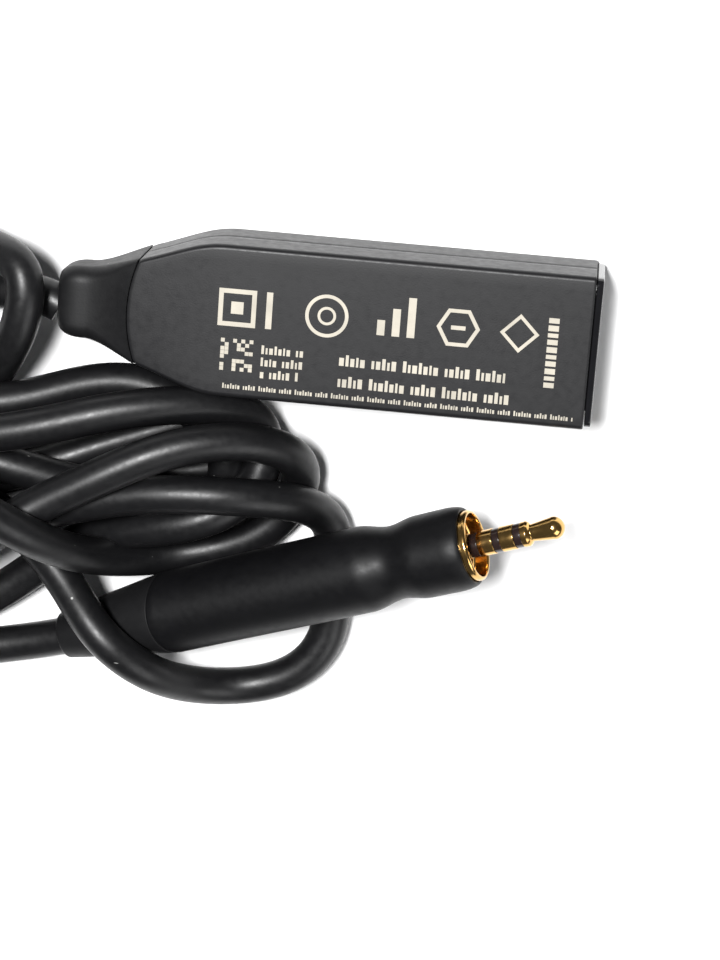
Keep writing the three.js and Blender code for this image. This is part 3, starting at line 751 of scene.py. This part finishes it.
def side_half(x):
    """Half the box's thickness at x: it thins a little towards the boot."""
    x0, x1, x2 = SEAM_X - 3, SHOULDER_X - 3, SHOULDER_X + 1
    if x >= x2:
        return MID_Z
    a, b, c = x0 - 2 * x1 + x2, 2 * (x1 - x0), x0 - x
    t = (-b + math.sqrt(b * b - 4 * a * c)) / (2 * a)
    return (1 - t) ** 2 * SEAM_HALF_HEIGHT + (1 - (1 - t) ** 2) * MID_Z


def housing_stations():
    """(x, half width, half height, share of the seam's bow, inset) from the seam to the socket end."""
    stations = []
    for i in range(PLAN_STEPS + 1):
        t = i / PLAN_STEPS
        x = bezier(t, SEAM_X, SEAM_X + 3.4, SHOULDER_X - 2.2, SHOULDER_X + 0.8)
        width = bezier(t, SEAM_HALF_WIDTH, SEAM_HALF_WIDTH + 1.2, HALF_WIDTH, HALF_WIDTH)
        stations.append([x, width, side_half(x), (1 - t) ** 2, 0])
    first = stations[0]
    lead = [[first[0] + shift, *first[1:4], inset] for shift, inset in ((0, LIP), (0.03, 0.05))]
    stations[0][0] += LIP
    for i in range(1, 13):
        x = SHOULDER_X + 0.8 + (SHELL_END_X - 0.25 - SHOULDER_X - 0.8) * i / 12
        stations.append([x, HALF_WIDTH, MID_Z, 0, 0])
    for x, inset in ((SHELL_END_X - LIP, 0), (SHELL_END_X - 0.03, 0.04), (SHELL_END_X, LIP)):
        stations.append([x, HALF_WIDTH, MID_Z, 0, inset])
    return lead + stations


def shell_path(half_width, half_height, corner, start):
    """Half of the box's section, from one parting edge over the face to the other, as (y, z above middle)."""
    path = [(half_width - 0.1, start), (half_width - 0.03, start + 0.03), (half_width, start + 0.1)]
    for i in range(1, 7):
        path.append((half_width, start + 0.1 + (half_height - corner - start - 0.1) * i / 6))
    for i in range(1, 13):
        angle = math.pi / 2 * i / 12
        y = half_width - corner * (1 - math.cos(angle))
        path.append((y, half_height - corner * (1 - math.sin(angle))))
    flat = 14
    for i in range(1, flat // 2 + 1):
        path.append(((half_width - corner) * (1 - 2 * i / flat), half_height))
    return path + [(-y, z) for y, z in reversed(path[:-1])]


def seam_shift(y, bow, half_width):
    """How far the bowed seam lies towards the boot at y."""
    return SEAM_BULGE * bow * (1 - (y / half_width) ** 2)


def shell_half(way):
    """One shell as a closed wall. way is 1 for the label side and -1 for the button side."""
    outer, inner = [], []
    for x, width, height, bow, inset in housing_stations():
        outer_path = shell_path(width - inset, height - inset, EDGE_ROUND, PARTING)
        inner_path = shell_path(width - WALL, height - WALL, 0.4, PARTING)
        for rows, path in ((outer, outer_path), (inner, inner_path)):
            rows.append([(x - seam_shift(y, bow, SEAM_HALF_WIDTH), y, MID_Z + way * z) for y, z in path])
    rings = [a + b[::-1] for a, b in zip(outer, inner)]
    points, faces = skin(rings, caps=False)
    count = len(rings[0])
    half = count // 2
    for start in (0, (len(rings) - 1) * count):
        for i in range(half - 1):
            faces.append((start + i, start + i + 1, start + count - 2 - i, start + count - 1 - i))
    return points, faces


TONGUE = (0.35, 0.9)     # thickness, and half its height


def lap_tongue(side):
    """A strip inside the label shell that covers the line between the shells."""
    rings = []
    for x, width, _, bow, _ in housing_stations()[2:]:
        outer_y = width - WALL - 0.02
        shift = seam_shift(outer_y, bow, SEAM_HALF_WIDTH)
        corners = [(outer_y, -TONGUE[1]), (outer_y, TONGUE[1]), (outer_y - TONGUE[0], TONGUE[1]),
                   (outer_y - TONGUE[0], -TONGUE[1])]
        rings.append([(x - shift, side * y, MID_Z + z) for y, z in corners])
    return skin(rings)


label_cover = join(shell_half(1), lap_tongue(1), lap_tongue(-1))
add_piece("label_cover", *label_cover, BOX_BODY, "shell_plastic", ["label_shell"])


def cut(piece, points, faces):
    """Takes a closed solid out of a piece."""
    mesh = bpy.data.meshes.new("cutter")
    mesh.from_pydata([Vector(p) * MM for p in points], [], faces)
    settle_mesh(mesh)
    cutter = bpy.data.objects.new("cutter", mesh)
    bpy.context.scene.collection.objects.link(cutter)
    modifier = piece.modifiers.new("cut", "BOOLEAN")
    modifier.operation = "DIFFERENCE"
    modifier.solver = "EXACT"
    modifier.object = cutter
    bpy.context.view_layer.update()
    evaluated = piece.evaluated_get(bpy.context.evaluated_depsgraph_get())
    result = bpy.data.meshes.new_from_object(evaluated)
    piece.modifiers.clear()
    piece.data = result
    bpy.data.objects.remove(cutter)
    settle_mesh(result)


CHAMFER = 0.15
HOLE_GAP = 0.2
HOLE_DEPTH = 2.2


def chamfered_hole(outline, height):
    """A cutter through the button side's face, wider at the surface. outline(grow) gives (x, y) points."""
    wide = HOLE_GAP + CHAMFER
    levels = [(-0.3, wide + 0.3), (0, wide), (CHAMFER, HOLE_GAP), (height, HOLE_GAP)]
    return skin([[(x, y, z) for x, y in outline(grow)] for z, grow in levels])


def circle(radius, sides=40):
    angles = [2 * math.pi * i / sides for i in range(sides)]
    return [(radius * math.cos(a), radius * math.sin(a)) for a in angles]


def button_outline(grow):
    return [(BUTTON_X + x, y) for x, y in stadium(*BUTTON_HALF, grow)]


def window_outline(grow):
    return [(WINDOW_X + x, y) for x, y in circle(WINDOW_RADIUS + grow - 0.05)]


def make_button_cover():
    cover = add_piece("button_cover", *shell_half(-1), BOX_BODY, "shell_plastic", ["button_shell"])
    for hole in (button_outline, window_outline):
        cut(cover, *chamfered_hole(hole, HOLE_DEPTH))


make_button_cover()


# ---------- end cap and socket ----------
MOUTH_Y = 3.9
MOUTH_Z = (4.65, 7.8)
USB_HALF = (3.75, 1.425)
USB_X = (21.0, 26.3)
SHEET = 0.25


def ring_at(x, half_y, half_z, corner, middle_z=None):
    middle_z = MID_Z if middle_z is None else middle_z
    return [(x, y, middle_z + z) for y, z in rounded_rectangle(half_y, half_z, corner)]


def make_end_cap():
    plate_y, plate_z = cap_high.y, (cap_high.z - cap_low.z) / 2
    mouth_middle = sum(MOUTH_Z) / 2
    mouth_half = (MOUTH_Z[1] - MOUTH_Z[0]) / 2
    face, back = cap_high.x, SHELL_END_X + 0.1
    rim_y, rim_z = HALF_WIDTH - WALL - 0.2, MID_Z - WALL - 0.2
    rings = [
        ring_at(back, plate_y - 0.05, plate_z - 0.05, 0.7),
        ring_at(back + 0.05, plate_y, plate_z, 0.75),
        ring_at(face - 0.16, plate_y, plate_z, 0.75),
        ring_at(face - 0.05, plate_y - 0.04, plate_z - 0.04, 0.71),
        ring_at(face, plate_y - 0.15, plate_z - 0.15, 0.6),
        ring_at(face, MOUTH_Y + 0.16, mouth_half + 0.16, 0.6, mouth_middle),
        ring_at(face - 0.05, MOUTH_Y + 0.05, mouth_half + 0.05, 0.5, mouth_middle),
        ring_at(face - 0.16, MOUTH_Y, mouth_half, 0.45, mouth_middle),
        ring_at(cap_low.x, MOUTH_Y, mouth_half, 0.45, mouth_middle),
        ring_at(cap_low.x, rim_y, rim_z, 0.4),
        ring_at(back, rim_y, rim_z, 0.4),
    ]
    add_piece("socket_plate", *skin(rings, closed=True), BOX_BODY, "cap_plastic", ["end_cap"])


make_end_cap()


def make_socket():
    """A folded steel sleeve with a flared mouth and a back wall."""
    middle = sum(MOUTH_Z) / 2
    half_y, half_z = USB_HALF
    back, front = USB_X
    rings = [
        ring_at(back, half_y - 0.4, half_z - 0.4, 0.3, middle),
        ring_at(back, half_y - 0.1, half_z - 0.1, 0.4, middle),
        ring_at(back + 0.1, half_y, half_z, 0.5, middle),
        ring_at(front - 0.05, half_y, half_z, 0.5, middle),
        ring_at(front, half_y - 0.05, half_z - 0.05, 0.45, middle),
        ring_at(front, half_y - 0.12, half_z - 0.12, 0.4, middle),
        ring_at(front - 0.2, half_y - SHEET, half_z - SHEET, 0.3, middle),
        ring_at(back + SHEET, half_y - SHEET, half_z - SHEET, 0.3, middle),
        ring_at(back + SHEET, half_y - 0.6, half_z - 0.6, 0.25, middle),
    ]
    points, faces = skin(rings)
    add_piece("socket_sleeve", points, faces, BOX_BODY, "steel_sheet", ["usb_socket_shell"])


make_socket()

# ---------- cord boot ----------
BOOT_TIP_X = boot_low.x
BOOT_NECK = (3.6, 3.15)
BOOT_END = (SEAM_HALF_WIDTH + 0.02, side_half(SEAM_X) - 0.02)
BOOT_ROUND = 1.5
TIP_ROUND = 2.3          # how far back the tip's rounding reaches
NECK_LENGTH = 2.9
SEAM_GAP = 0.07


def make_boot():
    """Round a bore for the cord: a rounded tip, a straight neck, and a flare to the bowed seam."""
    length = SEAM_X - SEAM_GAP - BOOT_TIP_X
    rings = []

    def ring(x, half_y, half_z, corner, bow=0.0):
        shape = rounded_rectangle(half_y, half_z, corner)
        rings.append([(x - seam_shift(y, bow, BOOT_END[0]), y, MID_Z + z) for y, z in shape])

    def bore(x, radius):
        around = []
        for y, z in rounded_rectangle(*BOOT_NECK, BOOT_ROUND):
            reach = math.hypot(y, z)
            around.append((x, radius * y / reach, MID_Z + radius * z / reach))
        rings.append(around)

    bore(BOOT_TIP_X + 3, CORD_RADIUS + 0.08)
    bore(BOOT_TIP_X + 0.25, CORD_RADIUS + 0.08)
    bore(BOOT_TIP_X + 0.05, CORD_RADIUS + 0.2)
    for i in range(13):
        angle = math.pi / 2 * i / 12
        drawn_in = 1.15 * (1 - math.sin(angle))
        ring(BOOT_TIP_X + TIP_ROUND * (1 - math.cos(angle)), BOOT_NECK[0] - drawn_in, BOOT_NECK[1] - drawn_in,
             BOOT_ROUND - 0.2 * (1 - math.sin(angle)))
    flare = 24
    for i in range(flare + 1):
        t = i / flare
        share = t ** 1.5 * (1 - 0.12 * t * t) / 0.88
        x = BOOT_TIP_X + NECK_LENGTH + (length - NECK_LENGTH - 0.08) * t
        half_y, half_z = (neck + (end - neck) * share for neck, end in zip(BOOT_NECK, BOOT_END))
        ring(x, half_y, half_z, BOOT_ROUND + (EDGE_ROUND - BOOT_ROUND) * share, t * t)
    ring(BOOT_TIP_X + length, BOOT_END[0] - 0.07, BOOT_END[1] - 0.07, EDGE_ROUND, 1)
    ring(BOOT_TIP_X + length, BOOT_END[0] - 1.2, BOOT_END[1] - 1.2, 0.5, 1)
    add_piece("cord_boot", *skin(rings), BOX_BODY, "boot_rubber", ["cable_boot"])


make_boot()

# ---------- button and light ----------
def make_button():
    """A dished plate with a round edge, a wider lip inside the shell, and a stem on the switch."""
    dish = [(-3.05, 0.5), (-2.4, 0.49), (-1.8, 0.46), (-1.2, 0.4), (-0.7, 0.33), (-0.4, 0.28), (-0.25, 0.26),
            (-0.14, 0.28), (-0.05, 0.34), (0, 0.44), (0, 1.5), (0.7, 1.5), (0.7, 1.75), (-2.9, 1.75)]
    stem = [(0.75, 1.7), (0.75, 1.9), (0.7, 1.95)]
    top = skin([[(x, y, z) for x, y in button_outline(grow)] for grow, z in dish])
    foot = skin([[(BUTTON_X + x, y, z) for x, y in circle(radius)] for radius, z in stem])
    add_piece("button_top", *join(top, foot), BUTTON_BODY, "button_plastic", ["mode_button"])


make_button()


def make_window():
    """A light pipe with a slightly domed face."""
    levels = [(0.25, 0.2), (0.5, 0.205), (0.72, 0.23), (0.84, 0.28), (WINDOW_RADIUS, 0.38),
              (WINDOW_RADIUS, 1.5), (1.4, 1.5), (1.4, 1.9), (1.0, 1.9)]
    points, faces = skin([[(WINDOW_X + x, y, z) for x, y in circle(radius)] for radius, z in levels])
    add_piece("light_pipe", points, faces, BOX_BODY, "window_plastic", ["light_window"])


make_window()

# ---------- plug ----------
plug_place = Matrix.Translation(PLUG_SEAM) @ Euler(
    (0, math.radians(-PLUG_TILT), math.radians(PLUG_TURN)), "XYZ").to_matrix().to_4x4()


def add_turned(name, profile, slot, replaces):
    points, faces = turned(profile)
    return add_piece(name, [plug_place @ Vector(p) for p in points], faces, BOX_BODY, slot, replaces)


def barrel_radius(along):
    """The barrel swells a little, draws in at its waist and swells again at the front."""
    knots = [(0.1, 4.2), (19, 4.3), (21.6, 4.3), (24.97, 3.65), (27.9, 4.12), (31.2, 4.15)]
    for (a, low), (b, high) in zip(knots, knots[1:]):
        if along <= b:
            return low + (high - low) * ease(max(along - a, 0) / (b - a))
    return knots[-1][1]


SEAM_BOW = 0.9           # how far the plug's seam bows towards the tail, over its upper side
SEAM_REACH = 4.0         # how far from the seam the bow fades out
SEAM_LINE = 0.06
GRIP_STEPS = 90
RING_BORE = 0.62
SPACER_RADIUS = 1.19


def bowed(name, profile, slot, replaces):
    """A turned piece whose seam end bows: points near the seam shift back over the plug's upper side."""
    points, faces = turned(profile)
    shaped = []
    for along, y, z in points:
        share = max(1 - abs(along) / SEAM_REACH, 0) * max(z / 4.2, 0) ** 1.5
        shaped.append((along - SEAM_BOW * share, y, z))
    return add_piece(name, [plug_place @ Vector(p) for p in shaped], faces, BOX_BODY, slot, replaces)


def make_tail():
    cord_bore = CORD_RADIUS + 0.06
    profile = [
        (-TAIL_LENGTH, cord_bore), (-TAIL_LENGTH, 2.38, 0.25), (-9, 2.86), (-6, 3.32), (-4, 3.6), (-2, 3.88),
        (-1, 4.02), (-SEAM_LINE, 4.14, 0.07), (-SEAM_LINE, 3.2), (3, 3.1), (3, cord_bore),
    ]
    bowed("plug_tail", profile, "boot_rubber", ["plug_tail_boot"])


def make_grip():
    """The barrel's skin, round the front rim and back along its bore."""
    waisted = []
    for i in range(1, GRIP_STEPS + 1):
        along = SEAM_LINE + 31.2 * i / GRIP_STEPS
        waisted.append((along, barrel_radius(along)))
    profile = [
        (SEAM_LINE, 4.12), *waisted, (31.8, 4.1), (32.3, 4.0), (32.6, 3.9), (BARREL_LENGTH, 3.76),
        (BARREL_LENGTH, CUP_RADIUS + 0.06, 0.05), (28.6, CUP_RADIUS + 0.1), (28.6, 2.7), (4.2, 2.7),
        (4.2, 3.3), (SEAM_LINE, 3.3),
    ]
    bowed("plug_grip", profile, "plug_rubber", ["plug_barrel"])


def make_cup():
    profile = [
        (28.8, 1.6), (28.8, CUP_RADIUS), (CUP_RIM - 0.2, CUP_RADIUS, 0.12), (CUP_RIM, 3.32, 0.06),
        (CUP_RIM, 3.16, 0.05), (CUP_RIM - 0.25, 3.1, 0.08), (31.9, 3.05, 0.3), (31.6, 1.6),
    ]
    add_turned("plug_cup", profile, "gold_contact", ["plug_collar"])


def make_contacts():
    """The jack's shaft: gold rings with insulators between them."""
    rings = [
        ("contact_sleeve", 27.0, 32.82, JACK_RADIUS, "gold_contact", "jack_sleeve"),
        ("spacer_rear", 32.86, 33.72, SPACER_RADIUS, "insulator", "jack_insulator_rear"),
        ("contact_rear", 33.76, 35.28, JACK_RADIUS, "gold_contact", "jack_ring_rear"),
        ("spacer_middle", 35.32, 36.02, SPACER_RADIUS, "insulator", "jack_insulator_middle"),
        ("contact_front", 36.06, 37.46, JACK_RADIUS, "gold_contact", "jack_ring_front"),
        ("spacer_front", 37.5, 38.19, SPACER_RADIUS, "insulator", "jack_insulator_front"),
    ]
    for name, start, stop, radius, slot, node in rings:
        profile = [(start, RING_BORE), (start, radius, 0.04), (stop, radius, 0.04), (stop, RING_BORE)]
        add_turned(name, profile, slot, [node])


def make_tip():
    """The pin through the shaft, with a shoulder, a neck and a rounded cone in front."""
    profile = [
        (26.9, 0.02), (26.9, 0.45), (38.23, 0.45), (38.23, JACK_RADIUS, 0.04), (38.75, JACK_RADIUS, 0.05),
        (38.98, 1.07, 0.05), (39.13, 0.85, 0.06), (39.3, 0.86), (41.45, 1.13, 0.04), (41.75, 1.07),
        (42.05, 0.88), (42.28, 0.6), (42.42, 0.28), (42.45, 0.02),
    ]
    add_turned("contact_tip", profile, "gold_contact", ["jack_tip"])


make_tail()
make_grip()
make_cup()
make_contacts()
make_tip()

# ---------- print on the label side ----------
PRINT_HEIGHT = 0.02
PRINT_BASE = 0.003


def plate(x0, x1, y0, y1):
    """A flat printed rectangle on the label side."""
    low, high = TOP_Z + PRINT_BASE, TOP_Z + PRINT_HEIGHT
    return skin([[(x0, y0, z), (x1, y0, z), (x1, y1, z), (x0, y1, z)] for z in (low, high)])


def outline(points, middle, width, scale=1.0):
    """A printed line of this width along a closed shape round middle."""
    low, high = TOP_Z + PRINT_BASE, TOP_Z + PRINT_HEIGHT
    reach = max(math.hypot(x, y) for x, y in points)
    inner = 1 - width / reach / math.cos(math.pi / len(points))
    rings = []
    for share, z in ((1, low), (1, high), (inner, high), (inner, low)):
        rings.append([(middle[0] + scale * share * x, middle[1] + scale * share * y, z) for x, y in points])
    return skin(rings, closed=True)


def polygon(sides, radius, turn=0.0):
    angles = [2 * math.pi * i / sides + turn for i in range(sides)]
    return [(radius * math.cos(a), radius * math.sin(a)) for a in angles]


FINE_TICKS = (0.3, 0.22, 0.42, 0.26, 0.36, 0.2, 0.4, -0.3, 0.24, 0.38, 0.3, 0.22, 0.4, -0.3)
TICK_HEIGHTS = (1.0, 0.72, 0.72, 1.0, 0.72, 0.86, 0.72)


def ticks(x0, x1, base, height, gap, start=0, slope=0.0):
    """A row of short upright ticks on a common base line, like print too small to read."""
    solids = []
    x = x0
    k = start
    while x < x1 - 0.15:
        width = FINE_TICKS[k % len(FINE_TICKS)] * height
        if width > 0:
            low = base + slope * (x - x0)
            solids.append(plate(x, x + width, low, low + height * TICK_HEIGHTS[k % len(TICK_HEIGHTS)]))
        x += abs(width) + gap
        k += 1
    return solids


def make_print():
    solids = []
    # a row of plain shapes
    row_y = 1.45
    solids.append(outline(polygon(4, 2.6, math.pi / 4), (-8.4, row_y), 0.45))
    solids.append(plate(-9.0, -7.8, row_y - 0.6, row_y + 0.6))
    solids.append(plate(-5.6, -5.0, row_y - 1.8, row_y + 1.8))
    solids.append(outline(polygon(48, 2.1), (0.3, row_y), 0.34))
    solids.append(outline(polygon(32, 0.9), (0.3, row_y), 0.26))
    for k, height in enumerate((1.5, 2.7, 3.9)):
        solids.append(plate(5.2 + 1.45 * k, 5.95 + 1.45 * k, row_y - 1.4, row_y - 1.4 + height))
    solids.append(outline(polygon(6, 2.1), (13.0, row_y), 0.36))
    solids.append(plate(12.3, 13.7, row_y - 0.2, row_y + 0.2))
    solids.append(outline(polygon(4, 1.9), (18.9, row_y), 0.32))
    # a field of small squares
    cell = 0.4
    for row in range(8):
        for column in range(8):
            if (row * 5 + column * 3 + row * column) % 7 < 3 or column == 0 and row % 2 == 0:
                x, y = -9.8 + cell * column, -1.6 - cell * row
                solids.append(plate(x, x + cell * 0.94, y - cell * 0.94, y))
    # rows of ticks
    for k, end in enumerate((-1.6, -1.4, -2.2)):
        solids += ticks(-5.8, end, -2.85 - 1.2 * k, 0.85, 0.16, 3 * k)
    solids += ticks(1.8, 18.1, -3.3, 1.1, 0.17, 2, -0.015)
    solids += ticks(1.3, 18.3, -5.4, 1.1, 0.17, 7, -0.015)
    solids += ticks(-9.4, 24.9, -6.55, 0.5, 0.1, 0, -0.004)
    # a short upright line
    y = -3.6
    for k in range(10):
        length = (0.5, 0.4, 0.55)[k % 3]
        solids.append(plate(21.6, 22.6, y, y + length))
        y += length + 0.22
    add_piece("label_marks", *join(*solids), BOX_BODY, "label_print")


make_print()

# ---------- floor and light ----------
def make_stage():
    bpy.ops.mesh.primitive_plane_add(size=6, location=(0, 0, -0.0001))
    floor = bpy.context.object
    floor.name = "floor"
    material = bpy.data.materials.new("floor")
    material.use_nodes = True
    shader = material.node_tree.nodes["Principled BSDF"]
    shader.inputs["Base Color"].default_value = (0.9, 0.9, 0.9, 1)
    shader.inputs["Roughness"].default_value = 0.9
    floor.data.materials.append(material)


make_stage()


def area_light(name, place, aim, size, power, colour=(1, 1, 1)):
    data = bpy.data.lights.new(name, "AREA")
    data.shape = "RECTANGLE"
    data.size, data.size_y = size
    data.energy = power
    data.color = colour
    light = bpy.data.objects.new(name, data)
    light.location = place
    light.rotation_mode = "QUATERNION"
    light.rotation_quaternion = (Vector(aim) - Vector(place)).to_track_quat("-Z", "Y")
    bpy.context.scene.collection.objects.link(light)


def make_light():
    world = bpy.data.worlds.new("studio")
    bpy.context.scene.world = world
    world.use_nodes = True
    background = world.node_tree.nodes["Background"]
    background.inputs["Color"].default_value = (0.95, 0.97, 1.0, 1)
    background.inputs["Strength"].default_value = 0.1
    area_light("window", (-0.08, 0.15, 0.6), (-0.01, -0.01, 0), (0.1, 0.16), 7.5)
    area_light("fill", (0.5, -0.4, 0.5), (0, 0, 0), (0.5, 0.5), 2.5)
    bpy.context.scene.view_settings.view_transform = "Standard"


make_light()
